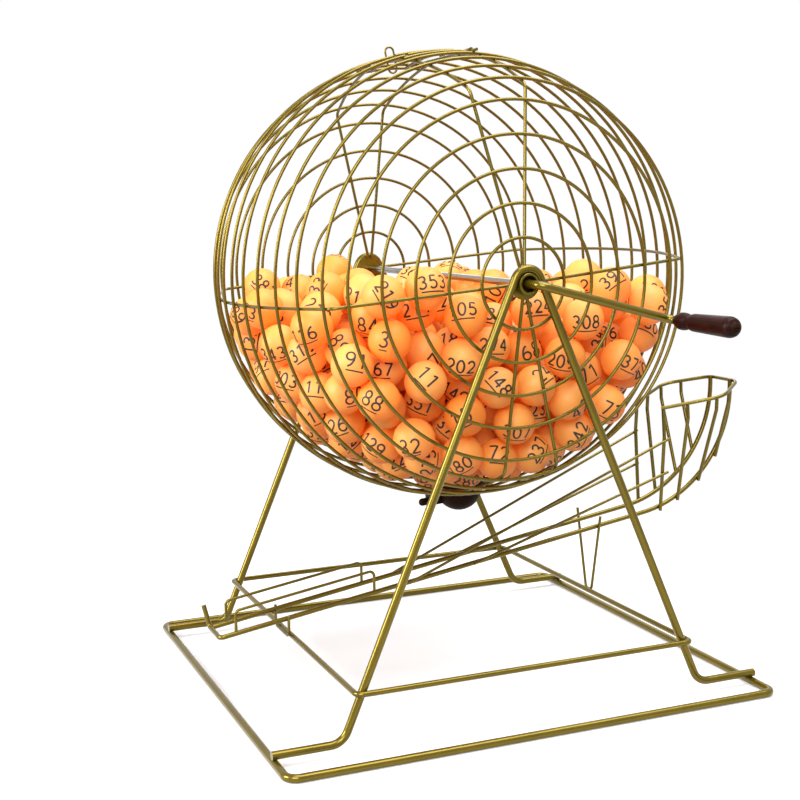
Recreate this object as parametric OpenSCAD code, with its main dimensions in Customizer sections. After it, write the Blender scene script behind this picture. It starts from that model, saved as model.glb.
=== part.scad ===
// Wire lottery machine: a ball cage on two rod legs, turned by a crank.
// One ball at a time falls from the cage's outlet onto a two-rail chute with a catch basket.
// Origin: on the floor, under the middle of the machine's box. +Z up, crank towards -Y, basket towards +X.

/* [Stand] */
// Length of the base frame over its rods
base_length = 516; // [440:1:600]
// Width of the base frame over its rods
base_width = 492; // [470:1:560]
// Height of the cage's axle above the floor
axle_height = 419; // [400:1:480]
// Diameter of the base and leg rods
rod_d = 8; // [6:0.5:10]
// Distance of each leg's plane from the middle
leg_plane = 203.5; // [203:0.5:215]
// Half the distance between one leg's two feet
foot_spread = 189.7; // [170:0.5:215]
// Height of the middle frame's rods
mid_height = 57.5; // [45:0.5:80]
// Diameter of the middle frame's rods
mid_rod_d = 5.5; // [4:0.5:8]

/* [Cage] */
// Largest diameter over the rings
cage_d = 457; // [430:1:470]
// Distance of each cap's first ring from the middle
cage_half_width = 195; // [190:0.5:196]
// Diameter of the ring and meridian wires
cage_wire = 3.2; // [2.6:0.1:4]
// Radius of the barrel's curve along the axle
barrel_radius = 392; // [340:1:460]
// Distance between neighbouring rings
ring_pitch = 31.2; // [30:0.1:31.4]
// Radius of each cap's first ring
first_cap_radius = 42.3; // [36:0.1:48]
// How far the cage stands turned at rest, in degrees
cage_turn = -5.2; // [-20:0.1:20]

/* [Crank] */
// Diameter of the crank rod
crank_d = 8; // [6:0.5:9]
// Diameter of the bare axle inside the cage
axle_d = 7; // [5:0.5:8]
// Length of the crank's arm
crank_arm = 145; // [110:1:160]
// How far the arm hangs below the level, in degrees
crank_drop = 15.2; // [0:0.1:60]
// Length of the wooden grip
grip_length = 88; // [70:1:110]

/* [Chute] */
// Diameter of the two rails
rail_d = 5; // [4:0.5:6]
// Half the distance between the rails
rail_half = 19; // [17:0.5:21]
// Slope of the rails, in degrees
rail_slope = 9.03; // [6:0.1:11]
// Radius of the rails' upward sweep
sweep_radius = 137; // [110:1:150]
// Diameter of the basket wires
basket_wire = 4; // [3:0.5:5]
// Diameter of the guards, hangers and side wires
light_wire = 3; // [2.5:0.5:4]

/* [Balls] */
// Diameter of a ball
ball_d = 40; // [36:0.5:40]
// Spacing of the cells in which the balls start
cell_pitch = 41; // [41:0.5:46]
// Height of the highest starting cell above the axle
fill_height = 20; // [-40:1:40]

/* [Hidden] */
$fn = 96;

gold = [0.78, 0.6, 0.25];
dark_iron = [0.14, 0.1, 0.06];
bright_steel = [0.72, 0.72, 0.72];
grip_brown = [0.25, 0.1, 0.08];
ball_orange = [1, 0.5, 0.2];

// Welded wires sink into each other by this much
weld = 0.15;
// Radial clearance of everything that turns or slides
running = 0.05;
// A bend is fatter than its wire by this much
bend_swell = 0.06;
// Each end of a bend reaches over the straight by this much
bend_sleeve = 0.15;

// Stand
base_corner = 11;
foot_z = rod_d * 1.5 - weld * 2 / 3;
apex_bend = 14;
foot_bend = 18;
leg_tilt = leg_angle(foot_spread, axle_height - foot_z, apex_bend);
apex_z = axle_height + apex_bend / sin(leg_tilt);
leg_rod_gap = (rod_d + mid_rod_d) / 2 - weld * 2 / 3;
mid_half_x = (apex_z - mid_height) * tan(leg_tilt) + leg_rod_gap / cos(leg_tilt);
mid_half_y = leg_plane + leg_rod_gap;
mid_corner = 7;

// Bushes and hubs
hub_plate_d = 30;
hub_plate_t = 1.9;
bush_d = (apex_bend - rod_d / 2 + 0.05) * 2;
bush_bore = crank_d + 2 * running;
bush_out = leg_plane + 9.5;
arm_plane = leg_plane + 22.5;
crank_bend = 9;
grip_pin = arm_plane + grip_length + crank_bend + 2.3;
grip_start = arm_plane + crank_bend + 2;
grip_steps = 60;

// Cage
barrel_centre = cage_d / 2 - cage_wire / 2 - barrel_radius;
wire_level = cage_wire - weld;
meridian_arc = barrel_radius - wire_level;
meridian_bend = 10;
cap_inset = 61.4;
cap_pitch = (cage_d / 2 - cap_inset - first_cap_radius) / 4;
cap_slope = 0.1048077;
cap_step = cap_pitch * cap_slope;
cap_u = unit([cap_pitch, -cap_step]);
cap_n = [cap_u.y, -cap_u.x];
meridian_start = 12;
meridian_line = [first_cap_radius, cage_half_width] + cap_n * wire_level;
meridian_cone_start = meridian_line + cap_u * ((meridian_start - meridian_line.x) / cap_u.x);
corner = cap_corner(meridian_line, cap_u, cap_n, meridian_bend, meridian_arc - meridian_bend);
pair_angle = 9;
hub_plate_in = meridian_cone_start.y + cage_wire / 2 - weld;

// Hatch in the top of the cage
hatch_cut = 8.4;
hinge_angle = 7.2;
hinge_rod_d = 3;
hinge_rod_half = 2.5 * ring_pitch + 6;
hinge_level = ring_radius(2.5 * ring_pitch) + cage_wire / 2 + hinge_rod_d / 2 - weld / 2;
hinge_eye_d = 6.6;
hinge_eye_length = 10;
door_lift = 0.45;
door_inset = 12;
door_end = 2.5 * ring_pitch - door_inset;
door_edge_angle = -6.4;
door_edge_level = meridian_arc + barrel_centre + door_lift;
pull_wire = 2;
pull_half_width = 4.5;
pull_span = 17;
pull_leg = (cage_wire + pull_wire) / 2 - weld * 2 / 3;
pull_y = ring_pitch / 2 - pull_leg;

// Outlet in the bottom of the cage
outlet_play = 3;
collar_bore = ball_d + 2 * outlet_play;
collar_wall = 5;
collar_d = collar_bore + 2 * collar_wall;
collar_under = 0.5;
collar_low = cage_d / 2 + collar_under;
collar_height = 6;
collar_top = collar_low - collar_height;
rim_gap = 0.4;
cup_rim = collar_low + rim_gap;
cup_play = 5;
cup_d = ball_d + 2 * cup_play;
cup_wall = 2.4;
lug_reach = 3.5;
cup_hinge_x = collar_d / 2 + lug_reach;
cup_hinge_w = cup_rim + 3;
pin_d = 3;
bolt_w = cup_rim + 9;
bolt_d = 5;
catch_reach = 5;
catch_x = -cup_d / 2 - catch_reach;
bracket_reach = 5;
bracket_x = catch_x - bracket_reach;

// Chute and basket
guard_sink = 0.05;
rail_low = [-252.8, 64.9];
rail_end_x = 355.6;
rail_tip_z = 288;
sweep_centre = [rail_end_x - sweep_radius, rail_z(rail_end_x) + sweep_radius * tan((90 - rail_slope) / 2)];
rib_xs = [261, 284, 312, 334];
rib_kink_half = [30, 42, 55.5, 47];
rib_touch = (rail_d + basket_wire) / 2 - weld * 2 / 3;
rib_past = 4;
rib_kink_z = [230, 251, 260, 266];
rim_slope = 0.24;
rim_corner = 20;
rim_front_x = rail_end_x + (rail_d + basket_wire) / 2 - weld * 2 / 3;
rim_spread = 7;
rim_front_y = rail_half + rim_spread;
rim_path = [
    [259, -26], [318, -61], [rim_front_x, -rim_front_y],
    [rim_front_x, rim_front_y], [318, 61], [259, 26]
];
light_beside_rail = rail_half + (rail_d + light_wire) / 2 - weld * 2 / 3;
light_beside_mid = mid_half_x + (mid_rod_d + light_wire) / 2 - 0.02;

// Middle of the machine's box, seen from under the middle of the cage
screw_dome = 3.2;
screw_ball = 7.2;
stop_reach = 5;
stop_rise = 23;
stop_bend = 5;
box_middle = [
    (rim_front_x + rail_low.x - stop_reach) / 2,
    (base_width / 2 - grip_pin - screw_dome) / 2
];

// Balls
ball_clear = 1;
ball_room = meridian_arc - cage_wire / 2 - ball_d / 2 - ball_clear;
axle_room = (axle_d + ball_d) / 2 + ball_clear;
pull_track = [door_edge_level - pull_span / 2 - pull_half_width, pull_y];
pull_keepout = (ball_d + pull_wire + ball_clear) / 2;
outlet_ball_w = cup_rim + cup_d / 2 - cup_wall - ball_d / 2 - 0.3;
ball_keepout = ball_d + 0.3;
cell_jitter = 18;
fall_steps = 60;
rest_steps = 60;
cell_count = 5;

// Vector helpers
function unit(v) = v / norm(v);
function side_of(d) = unit(cross(d, abs(d.z) < 0.9 ? [0, 0, 1] : [1, 0, 0]));
function turn_at(a, c, b) = acos(min(1, max(-1, unit(c - a) * unit(b - c))));
function trim_at(a, c, b, r) = r * tan(turn_at(a, c, b) / 2);
function placed(p, u, v, w) = [
    [u.x, v.x, w.x, p.x],
    [u.y, v.y, w.y, p.y],
    [u.z, v.z, w.z, p.z],
    [0, 0, 0, 1]
];

// Tilt of a leg whose foot lies at x and whose rod wraps the axle at radius r
function leg_angle(x, h, r) = atan(x / h) - asin(r / norm([x, h]));

// Middle of the bend between a cap's straight wire and the barrel's arc
function cap_corner(p, u, n, bend, reach) = let(
        q = p + n * bend - [barrel_centre, 0],
        b = q * u,
        c = q * q - reach * reach
    ) p + n * bend + u * (-b + sqrt(b * b - c));

function ring_radius(y) = barrel_centre + sqrt(barrel_radius * barrel_radius - y * y);
function rail_z(x) = rail_low[1] + (x - rail_low.x) * tan(rail_slope);
function under_sweep(x, r) = sweep_centre.y - sqrt(r * r - (x - sweep_centre.x) * (x - sweep_centre.x));
function rim_z(x) = 262 + rim_slope * (x - 261);

// Half the rim's width at x: two straights with a bend between them
function rim_half(x) = let(
        a = rim_path[0],
        c = rim_path[1],
        b = rim_path[2],
        along = unit(c - a),
        trim = trim_at(a, c, b, rim_corner),
        start = c - along * trim,
        end = c + unit(b - c) * trim,
        mid = start + [-along.y, along.x] * rim_corner,
        from = x < c.x ? a : c,
        to = x < c.x ? c : b
    ) x > start.x && x < end.x
        ? sqrt(rim_corner * rim_corner - (x - mid.x) * (x - mid.x)) - mid.y
        : -from.y - (x - from.x) * (to.y - from.y) / (to.x - from.x);

// Moves a piece from under the cage's middle to under the middle of the machine's box
module home()
    translate([-box_middle.x, -box_middle.y, 0])
        children();

// Wires
module straight_wire(a, b, d) {
    w = unit(b - a);
    u = side_of(w);
    multmatrix(placed(a, u, cross(w, u), w))
        cylinder(h = norm(b - a), d = d);
}

// Part of a ring in the local XY plane, swollen and sleeved over what it joins
module sleeved_arc(r, from, to, d) {
    sleeve = bend_sleeve / r * 180 / PI;
    rotate([0, 0, from - sleeve])
        rotate_extrude(angle = to - from + 2 * sleeve)
            translate([r, 0])
                circle(d = d + bend_swell);
}

module wire_bend(a, c, b, r, d) {
    from = unit(c - a);
    to = unit(b - c);
    inward = unit(to - (to * from) * from);
    multmatrix(placed(c - from * trim_at(a, c, b, r) + inward * r, -inward, from, cross(-inward, from)))
        sleeved_arc(r, 0, turn_at(a, c, b), d);
}

// A wire through the given points, with a bend radius for each point between the ends
module bent_wire(points, bends, d) {
    last = len(points) - 1;
    for (i = [0 : last - 1]) {
        a = points[i];
        b = points[i + 1];
        cut_a = i == 0 ? 0 : trim_at(points[i - 1], a, b, bends[i - 1]);
        cut_b = i == last - 1 ? 0 : trim_at(a, b, points[i + 2], bends[i]);
        straight_wire(a + unit(b - a) * cut_a, b - unit(b - a) * cut_b, d);
    }
    for (i = [1 : last - 1])
        wire_bend(points[i - 1], points[i], points[i + 1], bends[i - 1], d);
}

// A closed level frame of rod with rounded corners
module rod_frame(half_x, half_y, z, r, d) {
    corners = [[half_x, -half_y, z], [half_x, half_y, z], [-half_x, half_y, z], [-half_x, -half_y, z]];
    for (i = [0 : 3]) {
        a = corners[i];
        b = corners[(i + 1) % 4];
        straight_wire(a + unit(b - a) * r, b - unit(b - a) * r, d);
        wire_bend(a, b, corners[(i + 2) % 4], r, d);
    }
}

// Stand
module base_frame() color(gold) home()
    rod_frame((base_length - rod_d) / 2, (base_width - rod_d) / 2, rod_d / 2, base_corner, rod_d);

module leg(side) color(gold) home() {
    tip = base_length / 2 - 1;
    bent_wire([
        [-tip, side * leg_plane, foot_z],
        [-foot_spread, side * leg_plane, foot_z],
        [0, side * leg_plane, apex_z],
        [foot_spread, side * leg_plane, foot_z],
        [tip, side * leg_plane, foot_z]
    ], [foot_bend, apex_bend, foot_bend], rod_d);
}

module front_leg() leg(-1);
module rear_leg() leg(1);

module middle_frame() color(gold) home()
    rod_frame(mid_half_x, mid_half_y, mid_height, mid_corner, mid_rod_d);

module bush(rear) color(gold) home()
    mirror([0, rear, 0])
        translate([0, 0, axle_height])
            rotate([90, 0, 0])
                difference() {
                    translate([0, 0, leg_plane - rod_d / 2 - 0.1])
                        cylinder(h = bush_out - leg_plane + rod_d / 2 + 0.1, d = bush_d);
                    cylinder(h = bush_out + 1, d = bush_bore);
                }

module front_bush() bush(0);
module rear_bush() bush(1);

// Chute
// The near rail's wire bends across the tray's low end and rises there as the end stop
module near_rail() color(gold) home()
    bent_wire([
        [rail_low.x - stop_reach, rail_half + 6, rail_low[1] + stop_rise],
        [rail_low.x, rail_half + 3, rail_low[1]],
        [rail_low.x, -rail_half, rail_low[1]],
        [rail_end_x, -rail_half, rail_z(rail_end_x)],
        [rail_end_x, -rail_half, rail_tip_z]
    ], [stop_bend, stop_bend, sweep_radius], rail_d);

module far_rail() color(gold) home() {
    start = rail_low.x + rail_d / 2 - weld * 2 / 3;
    bent_wire([
        [start, rail_half, rail_z(start)],
        [rail_end_x, rail_half, rail_z(rail_end_x)],
        [rail_end_x, rail_half, rail_tip_z]
    ], [sweep_radius], rail_d);
}

module tray_guard(side) color(gold) home() {
    rise = 23.5;
    lift = rail_d / 2 - guard_sink;
    bent_wire([
        [-236, side * rail_half, rail_z(-236) + lift],
        [-236, side * rail_half, rail_z(-236) + rise],
        [-86, side * rail_half, rail_z(-86) + rise],
        [-86, side * rail_half, rail_z(-86) + lift]
    ], [5, 5], light_wire);
}

module near_tray_guard() tray_guard(-1);
module far_tray_guard() tray_guard(1);

module tray_hanger() color(gold) home() {
    y = light_beside_rail;
    x = -light_beside_mid;
    top = rail_z(x) + 3;
    bent_wire([[x, -y, top], [x, -y, mid_height], [x, y, mid_height], [x, y, top]], [8, 8], light_wire);
}

module chute_prop() color(gold) home() {
    x = light_beside_mid;
    foot = 6;
    lean = (light_beside_rail - foot) / (rail_z(x) - mid_height);
    top = rail_z(x) + 12;
    y = foot + lean * (top - mid_height);
    bent_wire([
        [x, -y, top],
        [x, -foot, mid_height],
        [x, foot, mid_height],
        [x, y, top]
    ], [5, 5], light_wire);
}

// Basket
module basket_rim() color(gold) home()
    bent_wire([for (p = rim_path) [p.x, p.y, rim_z(p.x)]], [for (i = [1 : 4]) rim_corner], basket_wire);

// How far from the middle a leaning rib passes its rail, touching it
function rib_beside(i, y, left) = left == 0 ? y : let(
        climb = asin((rib_xs[i] - sweep_centre.x) / sweep_radius),
        lean = (rib_kink_half[i] - y) / (rib_kink_z[i] - under_sweep(rib_xs[i], sweep_radius))
    ) rib_beside(i, rail_half + rib_touch * norm([lean, cos(climb)]) / cos(climb), left - 1);

// A near and a far wire, each from the rim to just past its rail
module basket_rib(i) color(gold) home() {
    x = rib_xs[i];
    z = under_sweep(x, sweep_radius);
    y = rib_beside(i, rail_half, 6);
    lean = (rib_kink_half[i] - y) / (rib_kink_z[i] - z);
    for (side = [-1, 1])
        bent_wire([
            [x, side * rim_half(x), rim_z(x) - basket_wire / 2],
            [x, side * rib_kink_half[i], rib_kink_z[i]],
            [x, side * (y - lean * rib_past), z - rib_past]
        ], [8], basket_wire);
}

module basket_rib_1() basket_rib(0);
module basket_rib_2() basket_rib(1);
module basket_rib_3() basket_rib(2);
module basket_rib_4() basket_rib(3);

module side_wire(side, x_rail, z_rib) color(gold) home() {
    x = rib_xs[0];
    foot_z0 = under_sweep(x, sweep_radius + (rail_d + basket_wire) / 2);
    rib_half = 25 + (rib_kink_half[0] - 25) * (z_rib - foot_z0) / (rib_kink_z[0] - foot_z0);
    a = [x_rail, side * light_beside_rail, rail_z(x_rail)];
    b = [x, side * (rib_half + (basket_wire + light_wire) / 2 - weld * 2 / 3), z_rib];
    straight_wire(a, b + unit(b - a) * 5, light_wire);
}

module near_upper_side_wire() side_wire(-1, -48, 226);
module far_upper_side_wire() side_wire(1, -48, 226);
module near_lower_side_wire() side_wire(-1, 28, 188);
module far_lower_side_wire() side_wire(1, 28, 188);

// Cage: local +Z points to the hatch, local X to the right, Y along the axle
module in_cage()
    translate([0, 0, axle_height])
        rotate([0, cage_turn, 0])
            children();

// Puts a piece at an angle from the cage's top, with local +Z pointing outwards
module at_angle(angle)
    in_cage()
        rotate([0, angle, 0])
            children();

// A ring wire about the axle, from one angle to another, counted from the top
module ring_arc(y, r, from, to, d)
    translate([0, y, 0])
        rotate([90, 0, 0])
            rotate([0, 0, 90 - to])
                rotate_extrude(angle = to - from)
                    translate([r, 0])
                        circle(d = d);

module full_ring(y, r, d)
    translate([0, y, 0])
        rotate([90, 0, 0])
            rotate_extrude()
                translate([r, 0])
                    circle(d = d);

module barrel_ring_pair(i) color(gold) home()
    in_cage()
        for (side = [-1, 1]) {
            y = side * (i - 0.5) * ring_pitch;
            if (i == 1)
                difference() {
                    ring_arc(y, ring_radius(y), hatch_cut, 360 - hatch_cut, cage_wire);
                    translate([0, 0, -collar_low - 20])
                        cylinder(h = 60, d = collar_d - 0.2);
                }
            else if (i == 2)
                ring_arc(y, ring_radius(y), hatch_cut, 360 - hatch_cut, cage_wire);
            else
                full_ring(y, ring_radius(y), cage_wire);
        }

module barrel_rings_1() barrel_ring_pair(1);
module barrel_rings_2() barrel_ring_pair(2);
module barrel_rings_3() barrel_ring_pair(3);
module barrel_rings_4() barrel_ring_pair(4);
module barrel_rings_5() barrel_ring_pair(5);
module barrel_rings_6() barrel_ring_pair(6);

module cap_ring_pair(i) color(gold) home()
    in_cage()
        for (side = [-1, 1])
            full_ring(side * (cage_half_width - cap_step * (i - 1)),
                first_cap_radius + cap_pitch * (i - 1), cage_wire);

module cap_rings_1() cap_ring_pair(1);
module cap_rings_2() cap_ring_pair(2);
module cap_rings_3() cap_ring_pair(3);
module cap_rings_4() cap_ring_pair(4);
module cap_rings_5() cap_ring_pair(5);

// Turns the local XY plane so that an angle of 180 points outwards and 90 along the axle
module in_meridian_plane(p)
    translate([0, p.y, p.x])
        rotate([0, 90, 0])
            children();

// An arc that follows the barrel along the axle, at a given radius of its own
module barrel_arc(r, half, d)
    in_meridian_plane([barrel_centre, 0])
        rotate([0, 0, 180 - half])
            rotate_extrude(angle = 2 * half)
                translate([r, 0])
                    circle(d = d);

// A meridian: straight over both caps, bent at their edges and curved along the barrel
module meridian(angle) color(gold) home()
    at_angle(angle) {
        out = unit(corner - [barrel_centre, 0]);
        arc_half = atan2(out.y, out.x);
        line_angle = 180 - atan2(-cap_n.y, -cap_n.x);
        line_end = corner - cap_n * meridian_bend;
        barrel_arc(meridian_arc, arc_half, cage_wire);
        for (side = [0, 1])
            mirror([0, side, 0]) {
                straight_wire([0, meridian_cone_start.y, meridian_cone_start.x],
                    [0, line_end.y, line_end.x], cage_wire);
                in_meridian_plane(corner)
                    sleeved_arc(meridian_bend, line_angle, 180 - arc_half, cage_wire);
            }
    }

module right_meridian() meridian(90);
module left_meridian() meridian(-90);
module top_right_meridian() meridian(pair_angle);
module top_left_meridian() meridian(-pair_angle);
module bottom_right_meridian() meridian(180 - pair_angle);
module bottom_left_meridian() meridian(180 + pair_angle);

module hub_plate(rear) color(gold) home()
    in_cage()
        mirror([0, rear, 0])
            rotate([90, 0, 0])
                translate([0, 0, hub_plate_in])
                    cylinder(h = hub_plate_t, d = hub_plate_d);

module front_hub_plate() hub_plate(0);
module rear_hub_plate() hub_plate(1);

// A straight rod from one hub plate to the other, right through the cage
module axle() color(bright_steel) home()
    translate([0, 0, axle_height])
        rotate([90, 0, 0])
            cylinder(h = 2 * hub_plate_in, d = axle_d, center = true);

// Crank
function crank_end() = [crank_arm * cos(crank_drop), axle_height - crank_arm * sin(crank_drop)];

module crank() color(gold) home()
    bent_wire([
        [0, -hub_plate_in - hub_plate_t, axle_height],
        [0, -arm_plane, axle_height],
        [crank_end().x, -arm_plane, crank_end().y],
        [crank_end().x, -grip_pin, crank_end().y]
    ], [crank_bend, crank_bend], crank_d);

module rear_axle() color(gold) home()
    translate([0, hub_plate_in + hub_plate_t, axle_height])
        rotate([-90, 0, 0]) {
            cylinder(h = bush_out + 1.5 - hub_plate_in - hub_plate_t, d = crank_d);
            translate([0, 0, bush_out + 0.5 - hub_plate_in - hub_plate_t])
                cylinder(h = 4, d = 14);
        }

// Outline of the turned grip: a bead, a neck, then a body that swells to a domed end
function grip_radius(t) =
    t < 0.2 ? 5.6 + 2.7 * sqrt(max(0, sin(t / 0.2 * 180)))
    : t < 0.9 ? 5.6 + 4.1 * sin(min(1, (t - 0.2) / 0.12) * 90) * (0.6 + 0.4 * (t - 0.2) / 0.7)
    : 5 + 4.7 * sqrt(max(0, 1 - pow((t - 0.9) / 0.1, 2)));

module grip() color(grip_brown) home()
    translate([crank_end().x, -grip_start, crank_end().y])
        rotate([90, 0, 0])
            difference() {
                rotate_extrude()
                    polygon([
                        [0, 0],
                        for (i = [0 : grip_steps])
                            [grip_radius(i / grip_steps), grip_length * i / grip_steps],
                        [0, grip_length]
                    ]);
                translate([0, 0, -1])
                    cylinder(h = grip_length + 2, d = crank_d + 2 * running);
            }

module grip_screw() color(gold) home()
    translate([crank_end().x, -grip_pin, crank_end().y])
        rotate([90, 0, 0])
            difference() {
                intersection() {
                    translate([0, 0, screw_dome - screw_ball])
                        sphere(r = screw_ball);
                    cylinder(h = 4, d = 11);
                }
                translate([-6, -0.5, 2.2])
                    cube([12, 1, 2]);
            }

// Hatch
module hatch_hinge_rod() color(dark_iron) home()
    at_angle(hinge_angle)
        translate([0, hinge_rod_half, hinge_level])
            rotate([90, 0, 0])
                cylinder(h = 2 * hinge_rod_half, d = hinge_rod_d);

module hatch_door() color(gold) home() {
    for (side = [-1, 1]) {
        in_cage()
            difference() {
                ring_arc(side * door_end, ring_radius(door_end) + door_lift,
                    -10.8, hinge_angle - 0.2, cage_wire);
                rotate([0, hinge_angle, 0])
                    translate([0, side * door_end + 8, hinge_level])
                        rotate([90, 0, 0])
                            cylinder(h = 16, d = hinge_rod_d + 1);
            }
        at_angle(hinge_angle)
            translate([0, side * door_end + hinge_eye_length / 2, hinge_level])
                rotate([90, 0, 0])
                    difference() {
                        cylinder(h = hinge_eye_length, d = hinge_eye_d);
                        translate([0, 0, -1])
                            cylinder(h = hinge_eye_length + 2, d = hinge_rod_d + 2 * running);
                    }
        for (k = [0.5, 1.5])
            in_cage()
                ring_arc(side * k * ring_pitch, ring_radius(k * ring_pitch) + door_lift,
                    -7.4, 5.2, cage_wire);
    }
    for (angle = [door_edge_angle, 4.2])
        at_angle(angle)
            barrel_arc(meridian_arc + door_lift, asin((door_end + 2) / meridian_arc), cage_wire);
}

// An upright loop of light wire, welded across the door's ring wire and round its edge wire
module hatch_pull() color(gold) home()
    at_angle(door_edge_angle) {
        mid_x = pull_half_width - pull_leg;
        low = door_edge_level - pull_span / 2;
        for (top = [0, 1])
            translate([mid_x, pull_y, low + top * pull_span])
                rotate([90, 0, 0])
                    rotate([0, 0, top * 180 + 180])
                        sleeved_arc(pull_half_width, 0, 180, pull_wire);
        for (side = [-1, 1])
            straight_wire([mid_x + side * pull_half_width, pull_y, low],
                [mid_x + side * pull_half_width, pull_y, low + pull_span], pull_wire);
    }

// Outlet: seen from the cage's middle, local +Z points outwards and down
module at_outlet()
    in_cage()
        mirror([0, 0, 1])
            children();

module outlet_collar() color(dark_iron) home()
    at_outlet()
        difference() {
            union() {
                translate([0, 0, collar_top])
                    cylinder(h = collar_low - collar_top, d = collar_d);
                for (side = [-1, 1])
                    translate([0, side * 9 - 2.5, collar_top]) {
                        translate([collar_d / 2 - 4, 0, 0])
                            cube([cup_hinge_x + 8 - collar_d / 2, 5, collar_low - collar_top]);
                        translate([cup_hinge_x - 4, 0, 0])
                            cube([8, 5, cup_hinge_w + 4 - collar_top]);
                    }
                translate([bracket_x - 2, -6, collar_top])
                    cube([12, 12, collar_low - collar_top]);
                translate([bracket_x - 2, -6, collar_top])
                    cube([4, 12, bolt_w + 6 - collar_top]);
            }
            translate([0, 0, collar_top - 1])
                cylinder(h = collar_low - collar_top + 2, d = collar_bore);
            translate([cup_hinge_x, 15, cup_hinge_w])
                rotate([90, 0, 0])
                    cylinder(h = 30, d = pin_d);
            translate([bracket_x - 5, 0, bolt_w])
                rotate([0, 90, 0])
                    cylinder(h = 10, d = bolt_d + 2 * running);
        }

module outlet_cup() color(dark_iron) home()
    at_outlet()
        difference() {
            union() {
                intersection() {
                    translate([0, 0, cup_rim])
                        sphere(d = cup_d);
                    translate([0, 0, cup_rim])
                        cylinder(h = cup_d, d = cup_d + 2);
                }
                translate([cup_d / 2 - 5, -6, cup_rim])
                    cube([cup_hinge_x + 5 - cup_d / 2, 12, 6]);
                translate([cup_hinge_x, 6, cup_hinge_w])
                    rotate([90, 0, 0])
                        cylinder(h = 12, d = 6);
                translate([catch_x, -4.5, bolt_w - 4.5])
                    cube([10, 9, 9]);
            }
            translate([0, 0, cup_rim])
                sphere(d = cup_d - 2 * cup_wall);
            translate([cup_hinge_x, 7, cup_hinge_w])
                rotate([90, 0, 0])
                    cylinder(h = 14, d = pin_d + 2 * running);
            translate([catch_x - 1, 0, bolt_w])
                rotate([0, 90, 0])
                    cylinder(h = 7, d = bolt_d + 2 * running);
        }

module outlet_hinge_pin() color(gold) home()
    at_outlet()
        translate([cup_hinge_x, 12.5, cup_hinge_w])
            rotate([90, 0, 0])
                cylinder(h = 25, d = pin_d);

module outlet_bolt() color(gold) home()
    at_outlet()
        translate([catch_x + 5, 0, bolt_w])
            rotate([0, -90, 0]) {
                cylinder(h = 16, d = bolt_d);
                translate([0, 0, 12.5])
                    cylinder(h = 6, d = 8);
                translate([0, 0, 18.5])
                    sphere(d = 8);
            }

// Balls. A ball is pushed to where it clears the axle, the loop's track, the wires and the outlet
function held(p) = let(
        off_axis = norm([p.x, p.z]),
        r = max(off_axis, axle_room),
        from_track = [r, p.y] - pull_track,
        beside = norm(from_track) < pull_keepout
            ? unit(from_track) * pull_keepout + pull_track : [r, p.y],
        side = beside[1] < 0 ? -1 : 1,
        q = [beside[0], abs(beside[1])],
        short = cage_wire / 2 + ball_d / 2 + ball_clear - (q - meridian_line) * cap_n,
        on_cap = short > 0 ? q + cap_n * short : q,
        from_barrel = on_cap - [barrel_centre, 0],
        in_barrel = norm(from_barrel) > ball_room
            ? unit(from_barrel) * ball_room + [barrel_centre, 0] : on_cap,
        from_outlet = in_barrel - [outlet_ball_w, 0],
        clear = norm(from_outlet) < ball_keepout
            ? unit(from_outlet) * ball_keepout + [outlet_ball_w, 0] : in_barrel
    ) [p.x * clear[0] / off_axis, side * clear[1], p.z * clear[0] / off_axis];

// The push that a ball gets from all the balls that stand too near
function push(p, balls, reach) = let(
        near = [for (q = balls) let(d = norm(p - q)) if (d < reach && d > 0) (p - q) * (reach / d - 1)]
    ) len(near) == 0 ? [0, 0, 0] : [for (v = near) 0.5] * near;

// Lets the balls fall and push each other apart, a little at a time
function settle(balls, reach, fall, left) = left == 0 ? balls
    : settle([for (p = balls) held(p + push(p, balls, reach) - [0, 0, fall * left])],
        reach, fall, left - 1);

function cells() = let(
        shift = rands(-cell_jitter, cell_jitter, 9000, 12),
        n = cell_count
    ) [for (i = [-n : n], j = [-n : n], k = [-n - 1 : 3])
        let(m = 3 * ((i + n) * 165 + (j + n) * 15 + k + n + 1) % 8997)
            [i * cell_pitch + shift[m], j * cell_pitch + shift[m + 1], k * cell_pitch + shift[m + 2]]];

function pile() = let(
        first = [for (p = cells()) if (norm(p - held(p)) < 6 && p.z < fill_height) p],
        fallen = settle(first, ball_d + 1, 1 / fall_steps, fall_steps)
    ) settle(fallen, ball_d + 0.8, 0, rest_steps);

module some_balls(low, high) color(ball_orange) home()
    for (p = pile())
        if (p.z >= low && p.z < high)
            translate([p.x, p.y, p.z + axle_height])
                sphere(d = ball_d);

module lower_balls() some_balls(-cage_d, -75);
module upper_balls() some_balls(-75, cage_d);

module outlet_ball() color(ball_orange) home()
    at_outlet()
        translate([0, 0, outlet_ball_w])
            sphere(d = ball_d);

base_frame();
front_leg();
rear_leg();
middle_frame();
front_bush();
rear_bush();
near_rail();
far_rail();
near_tray_guard();
far_tray_guard();
tray_hanger();
chute_prop();
basket_rim();
basket_rib_1();
basket_rib_2();
basket_rib_3();
basket_rib_4();
near_upper_side_wire();
far_upper_side_wire();
near_lower_side_wire();
far_lower_side_wire();
barrel_rings_1();
barrel_rings_2();
barrel_rings_3();
barrel_rings_4();
barrel_rings_5();
barrel_rings_6();
cap_rings_1();
cap_rings_2();
cap_rings_3();
cap_rings_4();
cap_rings_5();
right_meridian();
left_meridian();
top_right_meridian();
top_left_meridian();
bottom_right_meridian();
bottom_left_meridian();
front_hub_plate();
rear_hub_plate();
axle();
crank();
rear_axle();
grip();
grip_screw();
hatch_hinge_rod();
hatch_door();
hatch_pull();
outlet_collar();
outlet_cup();
outlet_hinge_pin();
outlet_bolt();
outlet_ball();
lower_balls();
upper_balls();
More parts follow.
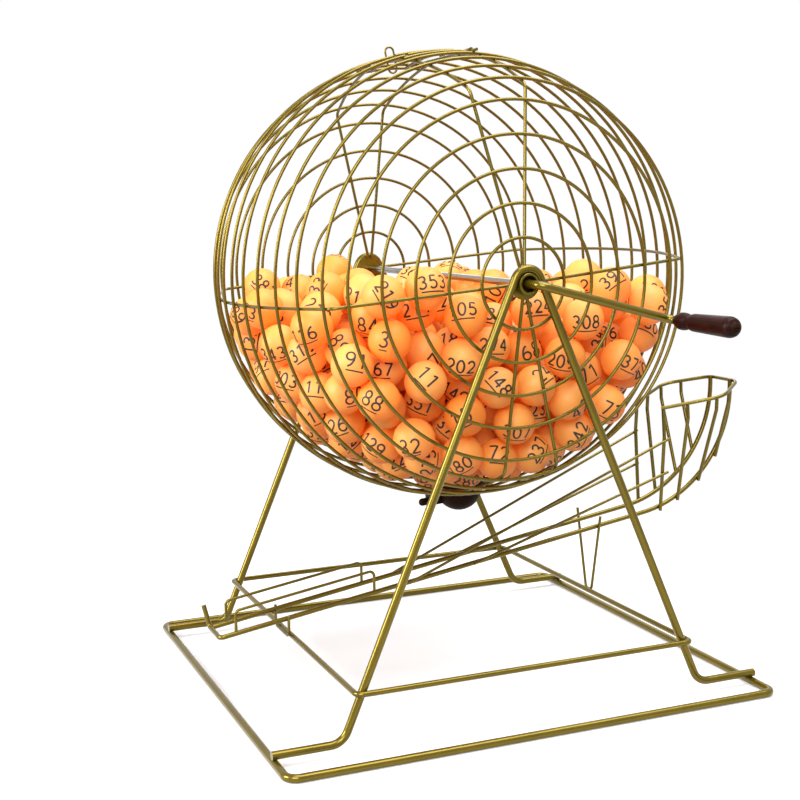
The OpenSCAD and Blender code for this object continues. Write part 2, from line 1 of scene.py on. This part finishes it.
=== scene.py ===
# %% [markdown]
# # A wire lottery machine
# The machine is a cage of gold-painted wire that hangs in a stand of bent rod.
# A crank turns the cage, and numbered balls tumble in it.
# The frame that this script loads holds every rigid piece at its real size.
# This script gives those pieces their finishes, prints the numbers on the balls,
# and sets up the light and the camera.

import math
import random

import bmesh
import bpy
import numpy as np
from mathutils import Matrix, Vector


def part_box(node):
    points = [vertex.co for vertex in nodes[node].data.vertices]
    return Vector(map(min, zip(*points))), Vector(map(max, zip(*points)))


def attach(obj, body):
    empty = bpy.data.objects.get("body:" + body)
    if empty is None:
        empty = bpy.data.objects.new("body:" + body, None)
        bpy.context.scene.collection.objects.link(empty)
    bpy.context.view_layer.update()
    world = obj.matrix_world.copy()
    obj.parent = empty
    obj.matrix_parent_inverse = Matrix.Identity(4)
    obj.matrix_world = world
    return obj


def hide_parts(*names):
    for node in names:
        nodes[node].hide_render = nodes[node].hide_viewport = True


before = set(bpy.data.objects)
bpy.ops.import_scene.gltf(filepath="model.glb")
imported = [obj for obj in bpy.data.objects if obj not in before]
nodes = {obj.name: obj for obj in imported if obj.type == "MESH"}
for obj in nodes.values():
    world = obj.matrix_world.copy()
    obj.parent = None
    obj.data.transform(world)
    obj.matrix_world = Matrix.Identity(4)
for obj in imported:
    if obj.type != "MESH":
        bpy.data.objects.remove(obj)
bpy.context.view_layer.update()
print("pieces in the frame:", len(nodes))

# %% [markdown]
# ## Colours
# A colour picked from a photo is written in sRGB, as a hex value such as #746314, an olive gold.
# The shaders work in linear light, so each value is turned linear once, by this function.

# %% A colour from its hex value


def paint(code):
    """The linear colour, with alpha, of an sRGB hex value."""
    parts = [int(code[i : i + 2], 16) / 255 for i in (1, 3, 5)]
    linear = [p / 12.92 if p <= 0.04045 else ((p + 0.055) / 1.055) ** 2.4 for p in parts]
    return (*linear, 1.0)


print("olive gold in linear light:", [round(v, 3) for v in paint("#746314")])

# %% [markdown]
# ## Building a material
# Every material here is a small network of nodes round one Principled shader.
# One helper adds a node: the settings are its properties, and the inputs are its sockets.
# An input that is itself a socket is linked, and any other value is set.

# %% A node, and an empty material


def add(material, kind, inputs, **settings):
    """Adds a node to a material, sets its properties, and fills or links its inputs."""
    tree = material.node_tree
    node = tree.nodes.new(kind)
    for name, value in settings.items():
        setattr(node, name, value)
    for name, value in inputs.items():
        if isinstance(value, bpy.types.NodeSocket):
            tree.links.new(value, node.inputs[name])
        else:
            node.inputs[name].default_value = value
    return node


def new_material(name):
    """A material with only an output node."""
    material = bpy.data.materials.new(name)
    material.use_nodes = True
    material.node_tree.nodes.clear()
    material.node_tree.nodes.new("ShaderNodeOutputMaterial")
    return material


def show(material, shader):
    """Sends a shader to the material's surface."""
    tree = material.node_tree
    tree.links.new(shader.outputs[0], tree.nodes["Material Output"].inputs["Surface"])


def per_metre(mm):
    """The scale of a texture whose features are about this many millimetres apart."""
    return 1000 / mm


print("texture scale for 3 mm:", round(per_metre(3), 1))

# %% [markdown]
# ## Gold lacquer over steel wire
# The cage and the stand are mild steel wire, welded and then sprayed with a gold lacquer.
# A gold lacquer is a clear yellow-brown varnish over fine metal flakes.
# It looks deep olive where it is in shade, and a lamp draws a pale line along each wire.
# The flakes mirror a lamp in their own colour, and the varnish over them reflects white only faintly.
# So the material is mostly metallic on a dark olive base, with a thin glossy coat.
# A spray coat is never even, so noise 40 mm wide varies its tone,
# and noise 3 mm wide makes its faint ripple.

# %% Gold lacquer


def gold_lacquer():
    """Sprayed gold lacquer with metal flakes."""
    material = new_material("gold_lacquer")
    place = add(material, "ShaderNodeTexCoord", {})
    tone = add(material, "ShaderNodeTexNoise", {
        "Vector": place.outputs["Object"], "Scale": per_metre(40), "Detail": 4.0, "Roughness": 0.6})
    tones = add(material, "ShaderNodeMix", {
        0: tone.outputs["Fac"], 6: paint("#57490A"), 7: paint("#746314")}, data_type="RGBA")
    ripple = add(material, "ShaderNodeTexNoise", {
        "Vector": place.outputs["Object"], "Scale": per_metre(3), "Detail": 2.0})
    bump = add(material, "ShaderNodeBump", {
        "Height": ripple.outputs["Fac"], "Strength": 0.04, "Distance": 0.0002})
    sheen = add(material, "ShaderNodeMapRange", {
        "Value": tone.outputs["Fac"], "From Min": 0.3, "From Max": 0.7, "To Min": 0.2, "To Max": 0.28})
    show(material, add(material, "ShaderNodeBsdfPrincipled", {
        "Base Color": tones.outputs[2], "Metallic": 0.7, "Roughness": sheen.outputs[0],
        "Specular IOR Level": 0.3, "Coat Weight": 0.15, "Coat Roughness": 0.12,
        "Normal": bump.outputs[0]}))
    return material


gold = gold_lacquer()
print("made", gold.name)

# %% [markdown]
# ## Dark paint on the outlet
# The collar, the cup and the bolt under the cage are steel with a thick brown-black paint.
# Such paint is glossy at first, but balls and fingers leave it dull and a little mottled.

# %% Brown-black paint


def outlet_paint():
    """Thick brown-black enamel on steel."""
    material = new_material("brown_black_enamel")
    place = add(material, "ShaderNodeTexCoord", {})
    mottle = add(material, "ShaderNodeTexNoise", {
        "Vector": place.outputs["Object"], "Scale": per_metre(6), "Detail": 4.0})
    tones = add(material, "ShaderNodeMix", {
        0: mottle.outputs["Fac"], 6: paint("#160A03"), 7: paint("#2A1606")}, data_type="RGBA")
    sheen = add(material, "ShaderNodeMapRange", {
        "Value": mottle.outputs["Fac"], "To Min": 0.4, "To Max": 0.6})
    bump = add(material, "ShaderNodeBump", {
        "Height": mottle.outputs["Fac"], "Strength": 0.1, "Distance": 0.0003})
    show(material, add(material, "ShaderNodeBsdfPrincipled", {
        "Base Color": tones.outputs[2], "Roughness": sheen.outputs[0], "IOR": 1.5,
        "Specular IOR Level": 0.05, "Normal": bump.outputs[0]}))
    return material


dark_enamel = outlet_paint()
print("made", dark_enamel.name)

# %% [markdown]
# ## Bright steel axle
# The axle is a drawn rod: steel pulled through a die, left bare and polished by handling.
# Drawing leaves faint lines along the rod, so the noise is stretched forty times along its length.

# %% Drawn steel


def drawn_steel():
    """Bare bright steel with drawing lines along the axle."""
    material = new_material("drawn_steel")
    place = add(material, "ShaderNodeTexCoord", {})
    along = add(material, "ShaderNodeMapping", {
        "Vector": place.outputs["Object"], "Scale": (1.0, 0.025, 1.0)})
    lines = add(material, "ShaderNodeTexNoise", {
        "Vector": along.outputs[0], "Scale": per_metre(2), "Detail": 2.0})
    sheen = add(material, "ShaderNodeMapRange", {
        "Value": lines.outputs["Fac"], "To Min": 0.1, "To Max": 0.24})
    bump = add(material, "ShaderNodeBump", {
        "Height": lines.outputs["Fac"], "Strength": 0.015, "Distance": 0.0001})
    show(material, add(material, "ShaderNodeBsdfPrincipled", {
        "Base Color": paint("#A39E97"), "Metallic": 1.0, "Roughness": sheen.outputs[0],
        "Normal": bump.outputs[0]}))
    return material


steel = drawn_steel()
print("made", steel.name)

# %% [markdown]
# ## Lacquered wood
# The grip is turned from a plain hardwood with its grain along the grip, stained dark and lacquered.
# Under the stain the grain shows only as narrow streaks, about 1.5 mm apart.

# %% Stained wood


def stained_wood():
    """Turned hardwood under a dark stain and a clear lacquer."""
    material = new_material("stained_beech")
    place = add(material, "ShaderNodeTexCoord", {})
    along = add(material, "ShaderNodeMapping", {
        "Vector": place.outputs["Object"], "Scale": (1.0, 0.06, 1.0)})
    grain = add(material, "ShaderNodeTexNoise", {
        "Vector": along.outputs[0], "Scale": per_metre(1.5), "Detail": 4.0, "Roughness": 0.6})
    contrast = add(material, "ShaderNodeMapRange", {
        "Value": grain.outputs["Fac"], "From Min": 0.35, "From Max": 0.65})
    tones = add(material, "ShaderNodeMix", {
        0: contrast.outputs[0], 6: paint("#120504"), 7: paint("#2C0F0A")}, data_type="RGBA")
    bump = add(material, "ShaderNodeBump", {
        "Height": grain.outputs["Fac"], "Strength": 0.08, "Distance": 0.0002})
    show(material, add(material, "ShaderNodeBsdfPrincipled", {
        "Base Color": tones.outputs[2], "Roughness": 0.42, "IOR": 1.52,
        "Specular IOR Level": 0.06, "Coat Weight": 0.03, "Coat Roughness": 0.06,
        "Normal": bump.outputs[0]}))
    return material


wood = stained_wood()
print("made", wood.name)

# %% [markdown]
# ## Celluloid balls
# A lottery ball is a thin shell of dyed celluloid, like a table tennis ball, 40 mm across.
# The shell passes part of the light on, so the balls glow, and most where they shine into each other.
# A Translucent shader does just that: it lets light out on the far side of the surface.
# So the material is a satin skin mixed with 40% of it.
# Random Per Island gives each ball its own shade of dye.

# %% Celluloid
SHELL_GLOW = 0.4


def celluloid():
    """Dyed orange celluloid, satin, a little different on each ball."""
    material = new_material("orange_celluloid")
    ball = add(material, "ShaderNodeNewGeometry", {})
    tones = add(material, "ShaderNodeMix", {
        0: ball.outputs["Random Per Island"], 6: paint("#FFAE48"), 7: paint("#FFC86A")},
        data_type="RGBA")
    place = add(material, "ShaderNodeTexCoord", {})
    haze = add(material, "ShaderNodeTexNoise", {
        "Vector": place.outputs["Object"], "Scale": per_metre(9), "Detail": 2.0})
    sheen = add(material, "ShaderNodeMapRange", {
        "Value": haze.outputs["Fac"], "To Min": 0.38, "To Max": 0.52})
    skin = add(material, "ShaderNodeBsdfPrincipled", {
        "Base Color": tones.outputs[2], "Roughness": sheen.outputs[0], "IOR": 1.5})
    glow = add(material, "ShaderNodeBsdfTranslucent", {"Color": paint("#FFAE56")})
    show(material, add(material, "ShaderNodeMixShader", {
        0: SHELL_GLOW, 1: skin.outputs[0], 2: glow.outputs[0]}))
    return material


ball_skin = celluloid()
print("made", ball_skin.name)

# %% [markdown]
# ## Ink
# The numbers are pad-printed in black ink, which dries matt and a touch brown on the orange shell.

# %% Ink


def printing_ink():
    """Matt black pad-printing ink."""
    material = new_material("black_printing_ink")
    place = add(material, "ShaderNodeTexCoord", {})
    speckle = add(material, "ShaderNodeTexNoise", {
        "Vector": place.outputs["Object"], "Scale": per_metre(0.8), "Detail": 2.0})
    tones = add(material, "ShaderNodeMix", {
        0: speckle.outputs["Fac"], 6: paint("#14100D"), 7: paint("#2C211A")}, data_type="RGBA")
    show(material, add(material, "ShaderNodeBsdfPrincipled", {
        "Base Color": tones.outputs[2], "Roughness": 0.6, "IOR": 1.45}))
    return material


ink = printing_ink()
print("made", ink.name)

# %% [markdown]
# ## Which piece has which finish
# Most of the machine is lacquered gold, so only the nodes with another finish are listed.
# The two bushes get theirs further on, where their look is turned anew.

# %% Give every piece its finish
FINISHES = {
    "axle": steel,
    "grip": wood,
    "grip_screw": dark_enamel,
    "outlet_collar": dark_enamel,
    "outlet_cup": dark_enamel,
    "outlet_bolt": dark_enamel,
    "lower_balls": ball_skin,
    "upper_balls": ball_skin,
    "outlet_ball": ball_skin,
}
for name, piece in nodes.items():
    finish = FINISHES.get(name, gold)
    if not piece.material_slots:
        piece.data.materials.append(finish)
    for slot in piece.material_slots:
        slot.material = finish
print("finished pieces:", len(nodes), "of which not gold:", len(FINISHES))

# %% [markdown]
# ## The bushes in the leg tops
# Each leg's rod bends over a short tube, and the axle turns in a bearing deep inside it.
# From outside one sees the tube's thin rim, and a hollow round the axle whose inner faces take the
# brown-black paint as painted shade.
# Turning is done on a lathe, and this mesh is made the same way:
# a profile of distances and radii is spun round the axle.
# The rim is 2.4 mm thick with edges rounded by 0.4 mm, and the bearing fills the inner 1.6 mm.

# %% Turned bushes
SPIN_STEPS = 64
BUSH_RIM = 0.0024
RIM_ROUND = 0.0004
BEARING_LEFT = 0.0016
BUSH_BORE = 0.0081
FIRST_PAINTED_SHADE_FACE = 5


def turned(name, middle, profile):
    """A ring spun round the line along Y through a middle, with its inner faces painted brown-black as
    painted shade.
    """
    vertices, faces = [], []
    for step in range(SPIN_STEPS):
        angle = math.tau * step / SPIN_STEPS
        vertices += [(middle[0] + radius * math.cos(angle), y, middle[2] + radius * math.sin(angle))
                     for y, radius in profile]
    count = len(profile)
    for step in range(SPIN_STEPS):
        here, there = step * count, (step + 1) % SPIN_STEPS * count
        faces += [(here + i, here + (i + 1) % count, there + (i + 1) % count, there + i)
                  for i in range(count)]
    mesh = bpy.data.meshes.new(name)
    mesh.from_pydata(vertices, [], faces)
    mesh.materials.append(gold)
    mesh.materials.append(dark_enamel)
    # The faces from the hollow's wall inwards take the brown-black paint, which paints the shade in the
    # hollow.
    for number, face in enumerate(mesh.polygons):
        face.material_index = 1 if number % count >= FIRST_PAINTED_SHADE_FACE else 0
    shape = bmesh.new()
    shape.from_mesh(mesh)
    bmesh.ops.recalc_face_normals(shape, faces=shape.faces)
    shape.to_mesh(mesh)
    shape.free()
    piece = bpy.data.objects.new(name, mesh)
    bpy.context.scene.collection.objects.link(piece)
    return piece


def bush(node, outwards):
    """The bush of one leg, with its hollow open to the outside."""
    low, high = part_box(node)
    middle = [(a + b) / 2 for a, b in zip(low, high)]
    outer = (high[0] - low[0]) / 2
    inside = low[1] if outwards > 0 else high[1]
    leg_low, leg_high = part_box("rear_leg" if outwards > 0 else "front_leg")
    face = leg_high[1] if outwards > 0 else leg_low[1]
    rounded = face - outwards * RIM_ROUND
    bore = BUSH_BORE / 2
    hollow = outer - BUSH_RIM
    floor_y = inside + outwards * BEARING_LEFT
    profile = [(inside, bore), (inside, outer), (rounded, outer), (face, outer - RIM_ROUND),
               (face, hollow + RIM_ROUND), (rounded, hollow), (floor_y, hollow), (floor_y, bore)]
    piece = turned(node + "_tube", middle, profile)
    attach(piece, "frame")
    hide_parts(node)
    depth = round(abs(face - floor_y) * 1000, 1)
    print(piece.name, "has its rim at y =", round(face, 4), "and is", depth, "mm deep")


bush("front_bush", -1)
bush("rear_bush", 1)

# %% [markdown]
# ## Finding the balls
# The balls are one mesh a group, so their centres have to be worked out.
# On a sphere the surface points straight away from the centre.
# So each vertex, moved one radius back along its normal, lands near its ball's centre.
# Points that land together belong to one ball, and their mean is the centre.

# %% Centres of the balls
BALL_RADIUS = 0.020


def centres(node):
    """The centre of each ball of a node, in metres."""
    mesh = nodes[node].data
    points = np.empty(len(mesh.vertices) * 3)
    normals = np.empty(len(mesh.vertices) * 3)
    mesh.vertices.foreach_get("co", points)
    mesh.vertices.foreach_get("normal", normals)
    guesses = points.reshape(-1, 3) - BALL_RADIUS * normals.reshape(-1, 3)
    found = []
    while len(guesses):
        near = np.linalg.norm(guesses - guesses[0], axis=1) < BALL_RADIUS / 2
        found.append(guesses[near].mean(axis=0))
        guesses = guesses[~near]
    return found


balls = {node: centres(node) for node in ("lower_balls", "upper_balls", "outlet_ball")}
print("balls found:", {node: len(found) for node, found in balls.items()})

# %% [markdown]
# ## Digits as strokes
# The printed digits are plain and round, with strokes of one width.
# Each digit is written here as a few pen strokes in a cell one unit high: a list of points,
# where an arc is given by its middle, its two radii and its first and last angle.

# %% The ten digits
DIGIT_WIDTH = 0.62
ARC_STEP = 20


def arc(x, y, rx, ry, first, last):
    """Points along an arc of an ellipse, one about every 20 degrees."""
    steps = max(2, round(abs(last - first) / ARC_STEP))
    angles = [math.radians(first + (last - first) * i / steps) for i in range(steps + 1)]
    return [(x + rx * math.cos(a), y + ry * math.sin(a)) for a in angles]


DIGITS = {
    "0": [arc(0.31, 0.5, 0.25, 0.45, 0, 360)],
    "1": [[(0.13, 0.78), (0.36, 0.95), (0.36, 0.05)]],
    "2": [arc(0.31, 0.69, 0.24, 0.26, 165, -35) + [(0.07, 0.05), (0.57, 0.05)]],
    "3": [arc(0.29, 0.73, 0.22, 0.22, 150, -90) + arc(0.29, 0.28, 0.25, 0.23, 90, -150)],
    "4": [[(0.44, 0.05), (0.44, 0.95), (0.05, 0.3), (0.58, 0.3)]],
    "5": [[(0.53, 0.95), (0.16, 0.95), (0.12, 0.52)] + arc(0.3, 0.32, 0.26, 0.27, 125, -145)],
    "6": [arc(0.52, 0.32, 0.46, 0.63, 100, 180), arc(0.31, 0.3, 0.25, 0.25, 0, 360)],
    "7": [[(0.06, 0.95), (0.57, 0.95), (0.24, 0.05)]],
    "8": [arc(0.31, 0.73, 0.2, 0.22, 0, 360), arc(0.31, 0.28, 0.25, 0.23, 0, 360)],
    "9": [arc(0.1, 0.68, 0.46, 0.63, -80, 0), arc(0.31, 0.7, 0.25, 0.25, 0, 360)],
}
print("strokes in all digits:", sum(len(strokes) for strokes in DIGITS.values()))

# %% [markdown]
# ## A number laid out flat
# A number is a row of digits with a bar under it, which tells 6 from 9 when a ball lies upside down.
# Three digits are printed 13.5 mm high and one or two 15.5 mm high, with strokes 1.9 mm wide.

# %% Strokes of a number, in metres
SMALL_DIGIT = 0.0135
TALL_DIGIT = 0.0155
DIGIT_STEP = 0.74
STROKE = 0.0019
BAR = 0.0013
BAR_DROP = 0.0026
BAR_HALF = 0.42


def layout(number):
    """Pairs of a stroke's points and its width, about the number's middle."""
    text = str(number)
    height = SMALL_DIGIT if len(text) == 3 else TALL_DIGIT
    advance = DIGIT_STEP * height
    width = advance * (len(text) - 1) + DIGIT_WIDTH * height
    shift_x, shift_y = -width / 2, -height / 2
    lines = []
    for place, digit in enumerate(text):
        for stroke in DIGITS[digit]:
            lines.append(([(shift_x + place * advance + x * height, shift_y + y * height)
                           for x, y in stroke], STROKE))
    bar_y = shift_y - BAR_DROP
    lines.append(([(-BAR_HALF * width, bar_y), (0, bar_y), (BAR_HALF * width, bar_y)], BAR))
    return lines


print("strokes of the number 16:", len(layout(16)))

# %% [markdown]
# ## From flat strokes to ink on a ball
# A stroke becomes a ribbon: at each point the pen's width is laid off to both sides.
# The ribbon is wrapped on the ball so that distances from the print's middle are kept,
# as a soft printing pad does when it rolls its ink onto a ball.
# The ink stands 0.05 mm proud of the shell, so it never sinks into it.

# %% Ribbons wrapped on a ball
INK_PROUD = 0.00005
LONGEST_STEP = 0.0015


def split_up(points):
    """The same line with steps no longer than the longest step."""
    out = [points[0]]
    for (x0, y0), (x1, y1) in zip(points, points[1:]):
        count = max(1, math.ceil(math.hypot(x1 - x0, y1 - y0) / LONGEST_STEP))
        out += [(x0 + (x1 - x0) * i / count, y0 + (y1 - y0) * i / count) for i in range(1, count + 1)]
    return out


def ribbon(points, width):
    """Left and right edge points of a pen stroke."""
    points = split_up(points)
    edges = []
    for i, (x, y) in enumerate(points):
        before, after = points[max(0, i - 1)], points[min(len(points) - 1, i + 1)]
        dx, dy = after[0] - before[0], after[1] - before[1]
        length = math.hypot(dx, dy) or 1.0
        nx, ny = -dy / length * width / 2, dx / length * width / 2
        edges.append(((x + nx, y + ny), (x - nx, y - ny)))
    return edges


def wrap(point, centre, out, right, up):
    """A flat point of the print, moved onto the ball."""
    x, y = point
    reach = math.hypot(x, y)
    bend = reach / BALL_RADIUS
    aside = (right * x + up * y) / reach if reach else Vector()
    return centre + (out * math.cos(bend) + aside * math.sin(bend)) * (BALL_RADIUS + INK_PROUD)


print("points on a 12 mm line:", len(split_up([(0, 0), (0.012, 0)])))

# %% [markdown]
# ## Printing every ball
# Each ball carries its number twice, on opposite sides.
# The balls have tumbled, so a print faces outwards and to the crank's side only roughly,
# and it is tilted and turned at random.
# The seed makes the same numbers fall on the same balls in every run.

# %% Print the numbers
SEED = 18
LAST_NUMBER = 400
CRANK_SIDE = Vector((-0.3, -0.8, 0.1))
OUTWARD = 0.5
LEAN = 0.4
TURN = 0.6
STEEP = 0.9
pile = balls["lower_balls"] + balls["upper_balls"]
pile_middle = sum((Vector(centre) for centre in pile), Vector()) / len(pile)
draw = random.Random(SEED)
numbers = draw.sample(range(1, LAST_NUMBER + 1), sum(len(found) for found in balls.values()))


def print_numbers(node, body):
    """One mesh with the numbers of a group of balls."""
    vertices, faces = [], []
    for centre in balls[node]:
        centre = Vector(centre)
        tilt = Vector((draw.gauss(0, LEAN), draw.gauss(0, LEAN), draw.gauss(0, LEAN)))
        out = (OUTWARD * (centre - pile_middle).normalized() + CRANK_SIDE + tilt).normalized()
        level = Vector((0, 0, 1)) if abs(out.z) < STEEP else Vector((0, 1, 0))
        right = level.cross(out).normalized()
        right = Matrix.Rotation(draw.gauss(0, TURN), 3, out) @ right
        strokes = layout(numbers.pop())
        for side in (1, -1):
            up = (out * side).cross(right * side)
            for points, width in strokes:
                first = len(vertices)
                edges = ribbon(points, width)
                for left_edge, right_edge in edges:
                    vertices += [wrap(left_edge, centre, out * side, right * side, up),
                                 wrap(right_edge, centre, out * side, right * side, up)]
                faces += [(first + 2 * i, first + 2 * i + 1, first + 2 * i + 3, first + 2 * i + 2)
                          for i in range(len(edges) - 1)]
    mesh = bpy.data.meshes.new("numbers_on_" + node)
    mesh.from_pydata(vertices, [], faces)
    mesh.materials.append(ink)
    piece = bpy.data.objects.new("numbers_on_" + node, mesh)
    bpy.context.scene.collection.objects.link(piece)
    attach(piece, body)
    return piece


for node, body in (("lower_balls", "frame"), ("upper_balls", "frame"), ("outlet_ball", "cage")):
    piece = print_numbers(node, body)
    print(piece.name, "has", len(piece.data.polygons), "faces")

# %% [markdown]
# ## Floor and sky
# The machine stands on a white table with nothing behind it.
# The floor is a pale matt sheet that runs far back, and it keeps the soft shadow under the rods.
# A white floor would throw so much light back that it fills every shadow on the machine.
# So the floor is white where it is seen or mirrored, and grey for the light that bounces off it.
# Within 45 cm it mostly shows its own shade, and beyond 1.1 m it is plain white.
# The sky is white where it is seen or mirrored too, and much dimmer as a lamp.

# %% Floor and world
FLOOR_SIZE = 14
WHITE_FROM = 0.45
WHITE_TO = 1.1
NEAR_WHITE = 0.3
SKY_LIGHT = 0.15


def seen_or_mirrored(owner):
    """A socket that is 1 for camera, glossy and transmission rays, and 0 for the light that bounces."""
    rays = add(owner, "ShaderNodeLightPath", {})
    seen = add(owner, "ShaderNodeMath", {
        0: rays.outputs["Is Camera Ray"], 1: rays.outputs["Is Glossy Ray"]}, operation="MAXIMUM")
    through = add(owner, "ShaderNodeMath", {
        0: seen.outputs[0], 1: rays.outputs["Is Transmission Ray"]}, operation="MAXIMUM")
    return through.outputs[0]


def table_sheet():
    """Pale matt sheet under the machine that turns plain white far away."""
    material = new_material("white_sheet")
    place = add(material, "ShaderNodeTexCoord", {})
    fibre = add(material, "ShaderNodeTexNoise", {
        "Vector": place.outputs["Object"], "Scale": per_metre(30), "Detail": 3.0})
    tones = add(material, "ShaderNodeMix", {
        0: fibre.outputs["Fac"], 6: paint("#F6F6F6"), 7: paint("#FCFCFC")}, data_type="RGBA")
    seen = seen_or_mirrored(material)
    bounce = add(material, "ShaderNodeMix", {
        0: seen, 6: paint("#707070"), 7: tones.outputs[2]}, data_type="RGBA")
    sheet = add(material, "ShaderNodeBsdfPrincipled", {
        "Base Color": bounce.outputs[2], "Roughness": 0.9, "IOR": 1.3})
    distance = add(material, "ShaderNodeVectorMath", {0: place.outputs["Object"]}, operation="LENGTH")
    far = add(material, "ShaderNodeMapRange", {
        "Value": distance.outputs["Value"], "From Min": WHITE_FROM, "From Max": WHITE_TO,
        "To Min": NEAR_WHITE}, interpolation_type="SMOOTHSTEP")
    seen_far = add(material, "ShaderNodeMath", {
        0: seen, 1: far.outputs[0]}, operation="MULTIPLY")
    white = add(material, "ShaderNodeEmission", {"Color": (1, 1, 1, 1), "Strength": 1.0})
    show(material, add(material, "ShaderNodeMixShader", {
        0: seen_far.outputs[0], 1: sheet.outputs[0], 2: white.outputs[0]}))
    return material


bpy.ops.mesh.primitive_plane_add(size=FLOOR_SIZE, location=(0, 0, 0))
floor = bpy.context.object
floor.name = "floor"
floor.data.materials.append(table_sheet())

world = bpy.data.worlds.new("soft_sky")
bpy.context.scene.world = world
world.use_nodes = True
world.node_tree.nodes.clear()
glow = add(world, "ShaderNodeMapRange", {
    "Value": seen_or_mirrored(world), "To Min": SKY_LIGHT, "To Max": 1.0})
sky = add(world, "ShaderNodeBackground", {"Color": (1, 1, 1, 1), "Strength": glow.outputs[0]})
add(world, "ShaderNodeOutputWorld", {"Surface": sky.outputs[0]})
print("sky as a lamp:", SKY_LIGHT)

# %% [markdown]
# ## Lamps
# Studio photos of shiny wire use wide soft boxes, which draw long even highlights along each wire.
# The largest hangs above the machine, and its light shows on the top of every level rod.
# The second stands on the left, half as high, and the slanting legs mirror it on their left sides.
# A weaker one by the camera lights the balls, and a faint one behind lifts the far side.

# %% Soft boxes
CAGE_MIDDLE = (-0.05, 0.04, 0.38)


def soft_box(name, place, size, watts):
    """A square area lamp that points at the middle of the cage."""
    data = bpy.data.lights.new(name, "AREA")
    data.shape = "SQUARE"
    data.size = size
    data.energy = watts
    lamp = bpy.data.objects.new(name, data)
    bpy.context.scene.collection.objects.link(lamp)
    lamp.location = place
    lamp.rotation_euler = (Vector(CAGE_MIDDLE) - Vector(place)).to_track_quat("-Z", "Y").to_euler()


soft_box("top_box", (0.4, -0.3, 2.4), 2.0, 92)
soft_box("left_box", (-2.4, 0.1, 1.15), 1.2, 78)
soft_box("front_box", (-1.2, -1.9, 1.5), 1.5, 62)
soft_box("back_box", (0.9, 1.9, 1.6), 1.4, 8)

# %% [markdown]
# ## Camera
# The camera's place and lens were fitted to points of the photo: foot corners, rings, rails and hubs.
# It stands to the front left, a little above the axle's height, and is rolled by one degree.

# %% Place the camera
CAMERA_PLACE = Vector((-0.631718, -1.276767, 0.494246))
CAMERA_TURN = math.radians(-22.1019)
CAMERA_RISE = math.radians(8.1880)
CAMERA_ROLL = math.radians(-1.0525)
SENSOR_WIDTH = 36
FOCAL_LENGTH = 61.583
back = Vector((math.sin(CAMERA_TURN) * math.cos(CAMERA_RISE),
               -math.cos(CAMERA_TURN) * math.cos(CAMERA_RISE), math.sin(CAMERA_RISE)))
level_right = Vector((math.cos(CAMERA_TURN), math.sin(CAMERA_TURN), 0))
level_up = back.cross(level_right)
right = level_right * math.cos(CAMERA_ROLL) + level_up * math.sin(CAMERA_ROLL)
up = level_up * math.cos(CAMERA_ROLL) - level_right * math.sin(CAMERA_ROLL)
camera_data = bpy.data.cameras.new("camera")
camera_data.sensor_width = SENSOR_WIDTH
camera_data.lens = FOCAL_LENGTH
camera = bpy.data.objects.new("camera", camera_data)
bpy.context.scene.collection.objects.link(camera)
camera.matrix_world = Matrix.Translation(CAMERA_PLACE) @ Matrix(
    ((right.x, up.x, back.x), (right.y, up.y, back.y), (right.z, up.z, back.z))).to_4x4()
bpy.context.scene.camera = camera
bpy.context.scene.view_settings.view_transform = "Standard"
print("camera distance to the cage:", round((CAMERA_PLACE - Vector(CAGE_MIDDLE)).length, 3))
